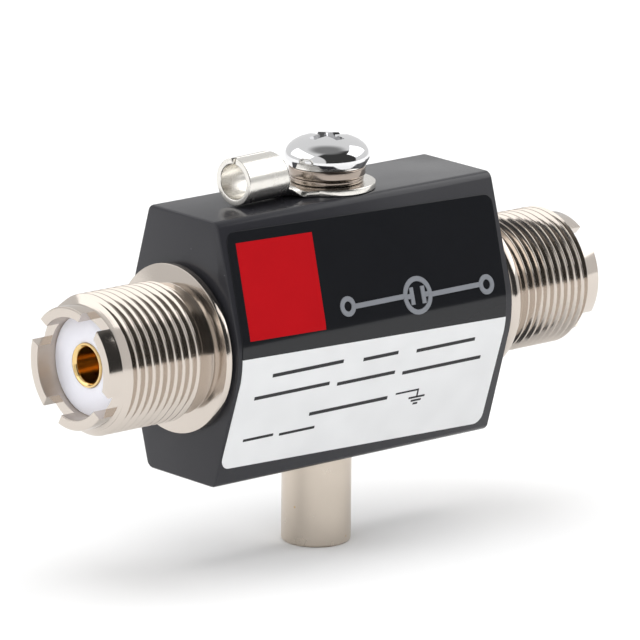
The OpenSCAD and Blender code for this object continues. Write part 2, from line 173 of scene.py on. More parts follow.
class EarthSizes(bpy.types.PropertyGroup):
    """Sizes of the earth screw, its washers and the lug"""
    head: length("Head", "Diameter of the screw's head", SCREW_HIGH.x - SCREW_LOW.x)
    head_rim: length("Head rim", "Height of the widest part of the head above its seat", 0.85)
    undercut: length("Undercut", "Inset of the head's seat from its rim", 0.42)
    head_height: length("Head height", "Height of the head above its seat", 3.35)
    dome_fullness: number("Dome fullness", "Power of the dome's curve, where 2 is an ellipse", 2.35)
    lip: length("Lip", "Radius that rounds the lower side of the head's rim", 0.25)
    shank: length("Shank", "Diameter over the crests of the screw's thread", 5.0)
    shank_root: length("Shank root", "Diameter at the bottom of the screw's thread", 4.1)
    shank_length: length("Shank length", "Length of the screw below its head", 9.6)
    shank_plain: length("Plain shank", "Length of the shank under the head without a thread", 1.5)
    tip: length("Tip", "Width of the chamfer at the tip of the screw", 0.6)
    pitch: length("Pitch", "Pitch of the screw's thread", 0.8)
    recess: length("Recess", "Length of the arms of the cross recess", 4.6)
    recess_width: length("Recess width", "Width of the arms of the cross recess", 1.2)
    recess_depth: length("Recess depth", "Depth of the cross recess", 1.9)
    hole: length("Hole", "Diameter of the holes in the washers and the lug", 5.3)
    spring_washer: length("Spring washer", "Diameter of the spring washer", SPRING_HIGH.x - SPRING_LOW.x)
    split: length("Split", "Width of the split in the spring washer", 0.5)
    flat_washer: length("Flat washer", "Diameter of the flat washer", WASHER_HIGH.x - WASHER_LOW.x)
    sheet: length("Sheet", "Thickness of the lug's sheet", 0.7)
    ring: length("Ring", "Diameter of the lug's ring", 11.0)
    tongue_start: length("Tongue start", "From the screw's axis to where the tongue leaves the ring", 4.0)
    tongue_root: length("Tongue root", "Width of the tongue across the screw's axis", 10.6)
    tongue_slope: number("Tongue slope", "How fast each edge of the tongue runs in to the barrel", 0.46)
    tongue_waist: length("Tongue waist", "Width of the tongue where it curls up into the barrel", 4.7)
    barrel: length("Barrel", "Outside diameter of the barrel", 5.4)
    barrel_lift: length("Barrel lift", "Height of the barrel above the underside of the sheet", 0.1)
    barrel_length: length("Barrel length", "Length of the closed barrel", 5.5)
    barrel_reach: length("Barrel reach", "From the screw's axis to the mouth of the barrel", 14.8)
    shoulder: length("Shoulder", "Length over which the tongue widens into the barrel", 1.1)
    seam: length("Seam", "Width of the butt seam", 0.15)
    nick: length("Nick", "How far each corner of the sheet is rounded off at the mouth", 0.25)
    nick_length: length("Nick length", "Length of the rounding at each corner of the sheet", 0.7)
    lug_turn: turn("Lug turn", "Turn of the barrel from the left towards the front", 4.5)


class CapSizes(bpy.types.PropertyGroup):
    """Sizes of the cap below the block"""
    diameter: length("Diameter", "Diameter of the cap", CAP_HIGH.x - CAP_LOW.x)
    root: length("Root", "Diameter at the bottom of the cap's thread", 6.9)
    pitch: length("Pitch", "Pitch of the cap's thread", 1.0)
    thread_start: length("Thread start", "Where the thread starts inside the block", 1.2)
    foot_radius: length("Foot radius", "Radius of the lower edge", 0.4)
    chamfer: length("Chamfer", "Width of the chamfer at the upper end", 0.5)
    bore: length("Bore", "Diameter of the bore", 6.0)
    bore_depth: length("Bore depth", "Depth of the bore", 8.3)


class LabelSizes(bpy.types.PropertyGroup):
    """Sizes of the film and its printed fields, along the surface from the film's middle"""
    length: length("Length", "Length of the film", 39.1)
    height: length("Height", "Height of the film along the surface", 28.0)
    offset: length("Offset", "Offset of the film's middle to the right", -0.3)
    tilt: turn("Tilt", "Turn of the film, right end down", 1.7)
    corner: length("Corner", "Radius of the film's corners", 1.2)
    thickness: length("Thickness", "Thickness of the film", 0.12)
    adhesive: length("Adhesive", "Thickness of the adhesive", 0.02)
    ink: length("Ink", "Thickness of the printed marks", 0.02)
    silver: length("Silver", "Thickness of the silver mark", 0.12)
    white_top: length("White top", "Height of the upper edge of the white field", -0.3)
    red_left: length("Red left", "Left edge of the red field", -18.4)
    red_bottom: length("Red bottom", "Lower edge of the red field", 1.7)
    red_size: length("Red size", "Width and height of the red field", 11.0)


class FinishColours(bpy.types.PropertyGroup):
    """Colours of the finishes"""
    enamel: colour("Enamel", "Stoved black enamel of the block", "#2e2e32")
    film_black: colour("Black print", "Black of the film", "#1c1d20")
    film_white: colour("White print", "White of the film", "#e9eaeb")
    film_red: colour("Red print", "Red of the film", "#b8121a")
    ink: colour("Ink", "Ink of the marks", "#1b1b1e")
    silver: colour("Silver", "Silver ink of the drawn mark", "#84878d")
    nickel: colour("Nickel", "Bright nickel of the shells", "#cdc4bb")
    satin_nickel: colour("Satin nickel", "Satin nickel of the cap", "#cfc4b7")
    washer: colour("Washer plate", "Nickel plate of the washers", "#a1958b")
    chrome: colour("Screw plate", "Bright plate of the screw", "#e4e4e5")
    tin: colour("Tin", "Tin plate of the lug", "#e6e3dd")
    gold: colour("Gold", "Gold plate of the contacts", "#e6c78c")
    insulator: colour("Insulator", "White fluoropolymer of the insulators", "#ebebf3")
    brass: colour("Brass", "Bare brass of the centre conductor", "#c9a24a")
    electrode: colour("Electrode", "Steel of the gas tube's electrodes", "#b4b4b8")
    ceramic: colour("Ceramic", "Alumina of the gas tube", "#efe9dc")
    spring: colour("Spring", "Steel of the contact spring", "#8f8f94")
    floor: colour("Floor", "Pale floor", "#f4f4f4")


class StudioSettings(bpy.types.PropertyGroup):
    """Camera and lights"""
    camera: bpy.props.FloatVectorProperty(
        name="Camera", description="Place of the camera", size=3, subtype="TRANSLATION", unit="LENGTH",
        default=(-0.55530, -0.64213, 0.24157))
    azimuth: turn("Azimuth", "Azimuth of the camera", -40.85)
    elevation: turn("Elevation", "Elevation of the camera", 14.274)
    roll: turn("Roll", "Roll of the camera", 0.595)
    lens: number("Lens", "Focal length on a 36 mm sensor", 436.33, unit="CAMERA")
    floor_radius: length("Floor radius", "Radius of the floor", 600.0)
    softbox_power: number("Softbox power", "Power of each softbox", 1.2, unit="POWER")
    fill_power: number("Fill power", "Power of the front fill", 2.4, unit="POWER")
    overhead_power: number("Overhead power", "Power of the overhead fill", 9.3, unit="POWER")
    backdrop: number("Backdrop", "Brightness of the backdrop", 1.0, subtype="FACTOR")


def sizes_of(scene, name):
    """Values of one of the scene's property groups, with its lengths in millimetres."""
    group = getattr(scene, name)
    values = {}
    for key in GROUPS[name].__annotations__:
        is_length = group.bl_rna.properties[key].unit == "LENGTH"
        values[key] = getattr(group, key) / MM if is_length else getattr(group, key)
    return SimpleNamespace(**values)


# Modelling helpers

def deselect():
    """Leaves edit mode with nothing selected."""
    if bpy.context.object and bpy.context.object.mode != "OBJECT":
        bpy.ops.object.mode_set(mode="OBJECT")
    bpy.ops.object.select_all(action="DESELECT")


def only(obj):
    """Makes one object the selected and active one, in object mode."""
    deselect()
    obj.select_set(True)
    bpy.context.view_layer.objects.active = obj


def edit(obj):
    """Opens one object for editing, with all of it selected."""
    only(obj)
    bpy.ops.object.mode_set(mode="EDIT")
    bpy.ops.mesh.select_all(action="SELECT")


def settle(obj):
    """Puts the place, turn and scale of the one selected object in its mesh."""
    bpy.ops.object.transform_apply(location=True, rotation=True, scale=True)
    return obj


def added(name, primitive, scale=(1.0, 1.0, 1.0), **settings):
    """Adds a primitive with nothing else selected, and names and scales it."""
    deselect()
    primitive(**settings)
    obj = bpy.context.object
    obj.name = name
    obj.scale = scale
    return settle(obj)


def place(obj, location=(0.0, 0.0, 0.0), rotation=(0.0, 0.0, 0.0)):
    """Moves and turns a piece."""
    only(obj)
    obj.rotation_euler = rotation
    obj.location = location
    return settle(obj)


def copied(obj, name):
    """Copies a piece with a mesh of its own."""
    only(obj)
    bpy.ops.object.duplicate()
    copy = bpy.context.object
    copy.name = name
    return copy


def pick(obj, kind, test):
    """Selects the vertices or edges that pass a test, in edit mode."""
    bpy.ops.mesh.select_mode(type={"verts": "VERT", "edges": "EDGE"}[kind])
    bpy.ops.mesh.select_all(action="DESELECT")
    mesh = bmesh.from_edit_mesh(obj.data)
    for element in getattr(mesh, kind):
        if test(element):
            element.select_set(True)
    mesh.select_flush_mode()
    bmesh.update_edit_mesh(obj.data)


def score(point, normal):
    """Cuts the edited piece along a plane and keeps both sides."""
    bpy.ops.mesh.select_all(action="SELECT")
    bpy.ops.mesh.bisect(plane_co=point, plane_no=normal, threshold=WELD)


def face_outwards():
    """Turns all faces of the edited piece outwards and leaves edit mode."""
    bpy.ops.mesh.select_all(action="SELECT")
    bpy.ops.mesh.normals_make_consistent(inside=False)
    bpy.ops.object.mode_set(mode="OBJECT")


def apply_modifier(obj, kind, **settings):
    """Adds a modifier, sets it and applies it."""
    only(obj)
    bpy.ops.object.modifier_add(type=kind)
    modifier = obj.modifiers[-1]
    for name, value in settings.items():
        setattr(modifier, name, value)
    bpy.ops.object.modifier_apply(modifier=modifier.name)


def combine(obj, tool, operation):
    """Cuts a tool from a piece or welds it on, and throws the tool away."""
    apply_modifier(obj, "BOOLEAN", operation=operation, solver="MANIFOLD", object=tool)
    bpy.data.objects.remove(tool)


def soften(obj, width, segments=2, angle=35.0):
    """Rounds the edges that are sharper than an angle."""
    apply_modifier(obj, "BEVEL", width=width, segments=segments, limit_method="ANGLE",
                   angle_limit=math.radians(angle), use_clamp_overlap=False)


def outline(name, points, closed=True):
    """Draws a line through (x, z) points by extruding one vertex, and leaves it open for editing."""
    obj = added(name, bpy.ops.mesh.primitive_plane_add, size=1.0)
    edit(obj)
    bpy.ops.mesh.select_mode(type="VERT")
    bpy.ops.mesh.merge(type="CENTER")
    bpy.ops.transform.translate(value=(points[0][0], 0.0, points[0][1]))
    for (x, z), (next_x, next_z) in zip(points, points[1:]):
        bpy.ops.mesh.extrude_vertices_move(TRANSFORM_OT_translate={"value": (next_x - x, 0.0, next_z - z)})
    if closed:
        pick(obj, "verts", lambda vertex: len(vertex.link_edges) == 1)
        bpy.ops.mesh.edge_face_add()
    bpy.ops.mesh.select_all(action="SELECT")
    return obj


def turned(name, section, sweep=math.tau):
    """Spins a half section of (station, radius) points about the X axis into a solid."""
    solid_core = section[0][1] == 0.0 and section[-1][1] == 0.0
    obj = outline(name, section, closed=not solid_core)
    bpy.ops.mesh.spin(steps=TURN_STEPS, angle=sweep, center=(0.0, 0.0, 0.0), axis=(1.0, 0.0, 0.0))
    bpy.ops.mesh.select_all(action="SELECT")
    bpy.ops.mesh.remove_doubles(threshold=WELD)
    if sweep < math.tau:
        bpy.ops.mesh.fill_holes(sides=0)
    face_outwards()
    return obj


def flat_ring(name, hole, edge, thickness, sweep=math.tau):
    """Turns a flat ring from the diameters of its hole and its edge, or part of one."""
    section = [(0.0, hole / 2), (0.0, edge / 2), (thickness, edge / 2), (thickness, hole / 2)]
    return turned(name, section, sweep)


def arc(centre, radius, start, end, steps):
    """Points of an arc as (station, radius) pairs, with angles in radians from the station axis."""
    angles = [start + (end - start) * i / steps for i in range(steps + 1)]
    return [(centre[0] + radius * math.cos(a), centre[1] + radius * math.sin(a)) for a in angles]


def cut_thread(obj, crest, root, pitch, start, end):
    """Cuts a right-handed thread with rounded crests into a round piece along X, as a die would."""
    crest_radius = pitch * 0.12
    crest_steps = 5
    flank = math.pi / 2 - THREAD_ANGLE / 2
    clear = crest + pitch / 3
    leans = [flank * i / crest_steps for i in range(crest_steps, 0, -1)]
    rounding = [(pitch / 2 - crest_radius * math.sin(a), crest - crest_radius * (1.0 - math.cos(a)))
                for a in leans]
    foot = rounding[0][0] - (rounding[0][1] - root) * math.tan(THREAD_ANGLE / 2)
    side = [(foot, root)] + rounding + [(rounding[-1][0], clear)]
    groove = side + [(-x, r) for x, r in reversed(side)]
    tool = outline("thread_tool", [(start + x, r) for x, r in groove])
    turns = (end - start) / pitch
    steps = round(THREAD_STEPS * turns)
    apply_modifier(tool, "SCREW", axis="X", angle=math.tau * turns, screw_offset=end - start, iterations=1,
                   steps=steps, render_steps=steps)
    edit(tool)
    bpy.ops.mesh.fill_holes(sides=0)
    face_outwards()
    combine(obj, tool, "DIFFERENCE")


def drill(obj, diameter, depth, location, rotation=(0.0, 0.0, 0.0)):
    """Cuts a round hole, centred on a location and along Z before it is turned."""
    tool = added("drill", bpy.ops.mesh.primitive_cylinder_add, vertices=TURN_STEPS, radius=diameter / 2,
                 depth=depth, location=location, rotation=rotation)
    combine(obj, tool, "DIFFERENCE")


def hand_over(obj, material, body, solids, smooth=30.0):
    """Brings a piece to metres, finishes its surface and ties it to its body and its CAD solids. A piece
    with several materials already has them."""
    only(obj)
    obj.scale = (MM, MM, MM)
    settle(obj)
    bpy.ops.object.shade_smooth_by_angle(angle=math.radians(smooth))
    if material is not None:
        obj.data.materials.clear()
        obj.data.materials.append(material)
    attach(obj, body)
    if solids:
        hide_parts(*solids)


def fit_both_ends(piece, material, solid, right_turn=0.0, left_turn=0.0):
    """Copies a piece of the right socket for the left one, and sets each at its end of the block."""
    left = copied(piece, piece.name.replace("right", "left"))
    place(piece, (END_X, 0.0, LINE_Z), (right_turn, 0.0, 0.0))
    place(left, (-END_X, 0.0, LINE_Z), (-left_turn, 0.0, math.pi))
    hand_over(piece, material, "housing", ["right_" + solid])
    hand_over(left, material, "housing", ["left_" + solid])


# Finishes

# Most values of a noise pattern lie in this range, which is stretched over the range that a finish needs
DRIFT = {"From Min": 0.3, "From Max": 0.7}


def node(tree, kind, inputs, **settings):
    """Adds a node, sets its properties, and sets or links its inputs by name or number. A node that is given
    as an input stands for its first output."""
    made = tree.nodes.new("ShaderNode" + kind)
    for name, value in settings.items():
        setattr(made, name, value)
    for key, value in inputs.items():
        if isinstance(value, bpy.types.Node):
            value = value.outputs[0]
        if isinstance(value, bpy.types.NodeSocket):
            tree.links.new(value, made.inputs[key])
        else:
            made.inputs[key].default_value = value
    return made


def begun(name):
    """Starts a material and gives its node tree and the Object coordinates."""
    material = bpy.data.materials.new(name)
    material.use_nodes = True
    tree = material.node_tree
    tree.nodes.clear()
    return material, tree, node(tree, "TexCoord", {}).outputs["Object"]


def ended(material, tree, inputs):
    """Ends a material with its shader and its output."""
    node(tree, "OutputMaterial", {"Surface": node(tree, "BsdfPrincipled", inputs)})
    return material


def per_metre(millimetres):
    """Scale of a pattern whose features are so many millimetres apart."""
    return 1.0 / (millimetres * MM)


def black_enamel(colours):
    """Stoved black enamel on an aluminium block. Sprayed and baked, it is a satin gloss with a faint orange
    peel about 0.9 mm across, clouds of slightly duller gloss and a few specks of dust under the skin."""
    material, tree, spot = begun("stoved_black_enamel")
    peel = node(tree, "TexNoise", {"Vector": spot, "Scale": per_metre(0.9), "Detail": 2.0})
    cloud = node(tree, "TexNoise", {"Vector": spot, "Scale": per_metre(9.0), "Detail": 3.0})
    gloss = node(tree, "MapRange", {"Value": cloud, **DRIFT, "To Min": 0.2, "To Max": 0.27})
    dust = node(tree, "TexVoronoi", {"Vector": spot, "Scale": per_metre(6.0), "Randomness": 1.0})
    speck = node(tree, "MapRange", {"Value": dust, "From Min": 0.008, "From Max": 0.016,
                                    "To Min": 0.35, "To Max": 0.0})
    shade = node(tree, "Mix", {0: speck, 6: tuple(colours.enamel), 7: tuple(colours.silver)},
                 data_type="RGBA")
    bump = node(tree, "Bump", {"Height": peel, "Strength": 0.06, "Distance": 0.05 * MM})
    return ended(material, tree, {"Base Color": shade.outputs[2], "Roughness": gloss, "Normal": bump,
                                  "IOR": 1.36})


def printed_film(name, ink, roughness):
    """Polyester film printed from behind, and the inks that lie on it. The skin is smooth and glossy, and
    pulls into shallow waves of about 5 mm over the adhesive, with a fine tooth of 0.25 mm."""
    material, tree, spot = begun(name)
    wave = node(tree, "TexNoise", {"Vector": spot, "Scale": per_metre(5.0), "Detail": 1.0})
    tooth = node(tree, "TexNoise", {"Vector": spot, "Scale": per_metre(0.25), "Detail": 2.0})
    gloss = node(tree, "MapRange", {"Value": tooth, **DRIFT, "To Min": roughness - 0.015,
                                    "To Max": roughness + 0.015})
    mottle = node(tree, "MapRange", {"Value": wave, **DRIFT, "To Min": 0.0, "To Max": 0.06})
    shade = node(tree, "Mix", {0: mottle, 6: tuple(ink), 7: (0.0, 0.0, 0.0, 1.0)}, data_type="RGBA")
    bump = node(tree, "Bump", {"Height": wave, "Strength": 0.06, "Distance": 0.1 * MM})
    return ended(material, tree, {"Base Color": shade.outputs[2], "Roughness": gloss, "Normal": bump,
                                  "IOR": 1.4})


def plated(name, tint, roughness, ring_axis=None, depth=0.05, cloud_size=2.5):
    """Electroplated or bare metal. A bright surface copies what is under it: turned pieces keep their tool
    rings, about 0.16 mm apart, and clouds of slightly duller metal drift over a few millimetres."""
    material, tree, spot = begun(name)
    cloud = node(tree, "TexNoise", {"Vector": spot, "Scale": per_metre(cloud_size), "Detail": 4.0})
    gloss = node(tree, "MapRange", {"Value": cloud, **DRIFT, "To Min": roughness * 0.75,
                                    "To Max": roughness * 1.3})
    height = cloud
    if ring_axis:
        # A wave texture of scale 1 has a band every tau / 20
        rings = node(tree, "TexWave", {"Vector": spot, "Scale": math.tau / 20.0 * per_metre(0.16),
                                       "Distortion": 1.5, "Detail": 2.0, "Detail Scale": 3.0},
                     wave_type="BANDS", bands_direction=ring_axis)
        height = rings.outputs["Fac"]
    bump = node(tree, "Bump", {"Height": height, "Strength": depth, "Distance": 0.02 * MM})
    return ended(material, tree, {"Base Color": tuple(tint), "Metallic": 1.0, "Roughness": gloss,
                                  "Normal": bump})


def satin_nickel(colours):
    """Satin nickel on a turned brass cap. Dull plate scatters light, is a little uneven, and has small pits
    about 0.2 mm across where the brass shows through."""
    material, tree, spot = begun("satin_nickel_plate")
    cloud = node(tree, "TexNoise", {"Vector": spot, "Scale": per_metre(3.0), "Detail": 5.0})
    gloss = node(tree, "MapRange", {"Value": cloud, **DRIFT, "To Min": 0.26, "To Max": 0.36})
    pits = node(tree, "TexVoronoi", {"Vector": spot, "Scale": per_metre(2.4), "Randomness": 1.0})
    pit = node(tree, "MapRange", {"Value": pits, "From Min": 0.02, "From Max": 0.07,
                                  "To Min": 0.75, "To Max": 0.0})
    shade = node(tree, "Mix", {0: pit, 6: tuple(colours.satin_nickel), 7: tuple(colours.brass)},
                 data_type="RGBA")
    bump = node(tree, "Bump", {"Height": cloud, "Strength": 0.1, "Distance": 0.05 * MM})
    return ended(material, tree, {"Base Color": shade.outputs[2], "Metallic": 1.0, "Roughness": gloss,
                                  "Normal": bump})


def white_fluoropolymer(colours):
    """Turned white fluoropolymer. Waxy and slightly see-through, with a soft, slightly uneven sheen."""
    material, tree, spot = begun("white_fluoropolymer")
    cloud = node(tree, "TexNoise", {"Vector": spot, "Scale": per_metre(1.2), "Detail": 3.0})
    gloss = node(tree, "MapRange", {"Value": cloud, **DRIFT, "To Min": 0.32, "To Max": 0.45})
    bump = node(tree, "Bump", {"Height": cloud, "Strength": 0.08, "Distance": 0.05 * MM})
    return ended(material, tree, {
        "Base Color": tuple(colours.insulator), "Roughness": gloss, "Normal": bump, "IOR": 1.36,
        "Subsurface Weight": 0.25, "Subsurface Radius": (1.0, 1.0, 1.0), "Subsurface Scale": 0.5 * MM})


def fired_ceramic(colours):
    """Fired alumina. Matt and chalky, with a grain of about 0.3 mm."""
    material, tree, spot = begun("fired_alumina")
    grain = node(tree, "TexNoise", {"Vector": spot, "Scale": per_metre(0.3), "Detail": 3.0})
    gloss = node(tree, "MapRange", {"Value": grain, "To Min": 0.5, "To Max": 0.7})
    bump = node(tree, "Bump", {"Height": grain, "Strength": 0.15, "Distance": 0.05 * MM})
    return ended(material, tree, {"Base Color": tuple(colours.ceramic), "Roughness": gloss, "Normal": bump})


def paper_floor(colours):
    """Matt white paper sweep, with a barely visible tooth of 4 mm."""
    material, tree, spot = begun("white_paper_floor")
    tooth = node(tree, "TexNoise", {"Vector": spot, "Scale": per_metre(4.0), "Detail": 2.0})
    gloss = node(tree, "MapRange", {"Value": tooth, "To Min": 0.8, "To Max": 0.9})
    return ended(material, tree, {"Base Color": tuple(colours.floor), "Roughness": gloss,
                                  "Specular IOR Level": 0.1})


# Operators, one for each piece or group of like pieces

class ARRESTOR_OT_block(bpy.types.Operator):
    """Model the six-sided block with its rounded creases and bores"""
    bl_idname = "arrestor.block"
    bl_label = "Block"

    def execute(self, context):
        sizes = sizes_of(context.scene, "arrestor_block")
        half = sizes.height / 2
        run = (sizes.crease_depth - sizes.flat_depth) / 2
        slant = math.atan2(run, half)
        block = added("block", bpy.ops.mesh.primitive_cube_add,
                      (sizes.length, sizes.flat_depth, sizes.height), size=1.0, location=(0.0, 0.0, LINE_Z))
        edit(block)
        score((0.0, 0.0, LINE_Z), (0.0, 0.0, 1.0))
        for side in (-1, 1):
            pick(block, "verts", lambda v: abs(v.co.z - LINE_Z) < WELD and v.co.y * side > 0)
            bpy.ops.transform.translate(value=(0.0, side * run, 0.0))

        def lengthwise(edge, height):
            """Tells whether an edge runs along the block, so far above or below the line."""
            ends = [v.co for v in edge.verts]
            level = all(abs(abs(c.z - LINE_Z) - height) < WELD for c in ends)
            return level and abs(ends[0].x - ends[1].x) > sizes.length / 2

        pick(block, "edges", lambda e: lengthwise(e, 0.0))
        bpy.ops.mesh.bevel(offset=sizes.crease_radius * math.tan(slant), segments=16, affect="EDGES")
        pick(block, "edges", lambda e: lengthwise(e, half))
        corner = math.pi / 4 - slant / 2
        bpy.ops.mesh.bevel(offset=sizes.edge_radius * math.tan(corner), segments=6, affect="EDGES")
        face_outwards()
        soften(block, sizes.end_edge, segments=3, angle=60.0)

        drill(block, sizes.line_bore, sizes.length + OVERCUT, (0.0, 0.0, LINE_Z), ALONG_LINE)
        spigot_x = END_X + (OVERCUT - sizes.spigot_depth) / 2
        for side in (-1, 1):
            drill(block, sizes.spigot_bore, sizes.spigot_depth + OVERCUT, (side * spigot_x, 0.0, LINE_Z),
                  ALONG_LINE)
        screw_z = BLOCK_HIGH.z + (OVERCUT - sizes.screw_depth) / 2
        drill(block, sizes.screw_bore, sizes.screw_depth + OVERCUT, (SCREW_X, 0.0, screw_z))
        cap_z = BLOCK_LOW.z + (half - OVERCUT) / 2
        drill(block, sizes.cap_bore, half + OVERCUT, (CAP_X, 0.0, cap_z))
        enamel = black_enamel(context.scene.arrestor_finish)
        hand_over(block, enamel, "housing", ["housing"], smooth=20.0)
        return {"FINISHED"}


def press_on_front(sheet, lift, thickness, crease_half):
    """Scores a flat sheet along the crease, presses it on the front of the block and gives it thickness."""
    edit(sheet)
    for i in range(-CREASE_CUTS, CREASE_CUTS + 1):
        score((0.0, 0.0, LINE_Z + crease_half * i / CREASE_CUTS), (0.0, 0.0, 1.0))
    target = copied(bpy.data.objects["block"], "press")
    target.parent = None
    target.scale = (1 / MM, 1 / MM, 1 / MM)
    settle(target)
    apply_modifier(sheet, "SHRINKWRAP", wrap_method="PROJECT", use_project_y=True, target=target,
                   offset=lift)
    bpy.data.objects.remove(target)
    apply_modifier(sheet, "SOLIDIFY", thickness=thickness, offset=1.0, use_even_offset=True)


def joined(name, marks):
    """Joins flat marks into one sheet."""
    only(marks[0])
    for mark in marks[1:]:
        mark.select_set(True)
    bpy.ops.object.join()
    marks[0].name = name
    return marks[0]


class ARRESTOR_OT_label(bpy.types.Operator):
    """Model the printed film on the front, with its fields of colour and its plain marks"""
    bl_idname = "arrestor.label"
    bl_label = "Label"

    def execute(self, context):
        sizes = sizes_of(context.scene, "arrestor_label")
        block = sizes_of(context.scene, "arrestor_block")
        colours = context.scene.arrestor_finish
        slant = math.atan2((block.crease_depth - block.flat_depth) / 2, block.height / 2)
        crease_half = block.crease_radius * math.sin(slant)
        drop = math.cos(slant)
        middle = Vector((sizes.offset, -block.crease_depth, LINE_Z))
        tilt = Matrix.Rotation(sizes.tilt, 3, "Y")

        def film_point(u, v):
            """Point of the flat sheet at u to the right and v up along the surface."""
            return middle + tilt @ Vector((u, 0.0, v * drop))

        film = added("label_film", bpy.ops.mesh.primitive_plane_add,
                     (sizes.length, sizes.height * drop, 1.0), size=1.0, rotation=FACING_FRONT)
        edit(film)
        bpy.ops.mesh.bevel(offset=sizes.corner, segments=6, affect="VERTICES")
        place(film, middle, (0.0, sizes.tilt, 0.0))
        edit(film)
        red_right, red_top = sizes.red_left + sizes.red_size, sizes.red_bottom + sizes.red_size
        for v in (sizes.white_top, sizes.red_bottom, red_top):
            score(film_point(0.0, v), tilt @ Vector((0.0, 0.0, 1.0)))
        for u in (sizes.red_left, red_right):
            score(film_point(u, 0.0), tilt @ Vector((1.0, 0.0, 0.0)))
        press_on_front(film, sizes.adhesive, sizes.thickness, crease_half)
        soften(film, sizes.thickness / 3, angle=60.0)
        for name, ink, roughness in (("black_printed_film", colours.film_black, 0.1),
                                     ("white_printed_film", colours.film_white, 0.3),
                                     ("red_printed_film", colours.film_red, 0.14)):
            film.data.materials.append(printed_film(name, ink, roughness))
        white, red = 1, 2
        for face in film.data.polygons:
            flat = tilt.inverted() @ (face.center - middle)
            u, v = flat.x, flat.z / drop
            if v < sizes.white_top:
                face.material_index = white
            elif sizes.red_left < u < red_right and sizes.red_bottom < v < red_top:
                face.material_index = red
        hand_over(film, None, "housing", ["front_label"], smooth=20.0)

        def bar(left, v, width, height):
            """A plain flat bar with its left end at a place and its middle at v."""
            return added("bar", bpy.ops.mesh.primitive_plane_add, (width, height, 1.0), size=1.0,
                         location=film_point(left + width / 2, v), rotation=FACING_FRONT)

        def ring(u, v, diameter, width):
            """A flat ring."""
            made = added("ring", bpy.ops.mesh.primitive_circle_add, vertices=48, radius=diameter / 2,
                         fill_type="NGON", location=film_point(u, v), rotation=FACING_FRONT)
            edit(made)
            bpy.ops.mesh.inset(thickness=width)
            bpy.ops.mesh.delete(type="FACE")
            return made

        # Plain rules stand for lines of small print, as (height, thickness, ((left, width), ...))
        rules = (
            (-2.6, 0.42, ((-15.0, 10.4), (-1.6, 5.2), (6.4, 8.8))),
            (-5.2, 0.42, ((-17.0, 11.0), (-4.8, 8.6), (5.0, 11.8))),
            (-8.5, 0.42, ((-8.0, 11.6),)),
            (-10.6, 0.32, ((-17.2, 4.4), (-11.9, 5.2))),
        )
        marks = [bar(left, v, width, thick) for v, thick, words in rules for left, width in words]
        # The standard earth symbol, as (left, height, width, thickness): a lead, a stem and three bars
        earth = (
            (4.8, -8.0, 3.5, 0.22), (8.09, -8.4, 0.22, 1.0),
            (7.0, -8.9, 2.4, 0.24), (7.45, -9.32, 1.5, 0.24), (7.85, -9.74, 0.7, 0.24),
        )
        marks += [bar(*stroke) for stroke in earth]
        ink = joined("label_ink", marks)
        surface = sizes.adhesive + sizes.thickness
        press_on_front(ink, surface, sizes.ink, crease_half)
        hand_over(ink, printed_film("black_ink", colours.ink, 0.4), "housing", [])

        # The usual drawing of a gas tube across a line, in thick silver ink: a ring with two plates, and on
        # each side the lead of a plate, the line and a terminal
        tube_u, line_v, stroke, lap = 6.4, 3.9, 0.55, 0.05
        tube, terminal, terminal_reach = 4.2, 2.2, 10.3
        plate_gap, plate_height = 0.55, 1.9
        plate_back, tube_inside = plate_gap + stroke, tube / 2 - stroke
        drawing = [ring(tube_u, line_v, tube, stroke)]
        for side in (-1, 1):
            drawing.append(ring(tube_u + side * terminal_reach, line_v, terminal, stroke))
            for near, far, height in ((plate_gap, plate_back, plate_height),
                                      (plate_back - lap, tube_inside + lap, stroke),
                                      (tube / 2 - lap, terminal_reach - terminal / 2 + lap, stroke)):
                left = tube_u + min(side * near, side * far)
                drawing.append(bar(left, line_v, far - near, height))
        silver = joined("label_silver", drawing)
        press_on_front(silver, surface, sizes.silver, crease_half)
        flake_ink = printed_film("silver_flake_ink", colours.silver, 0.35)
        hand_over(silver, flake_ink, "housing", [])
        return {"FINISHED"}


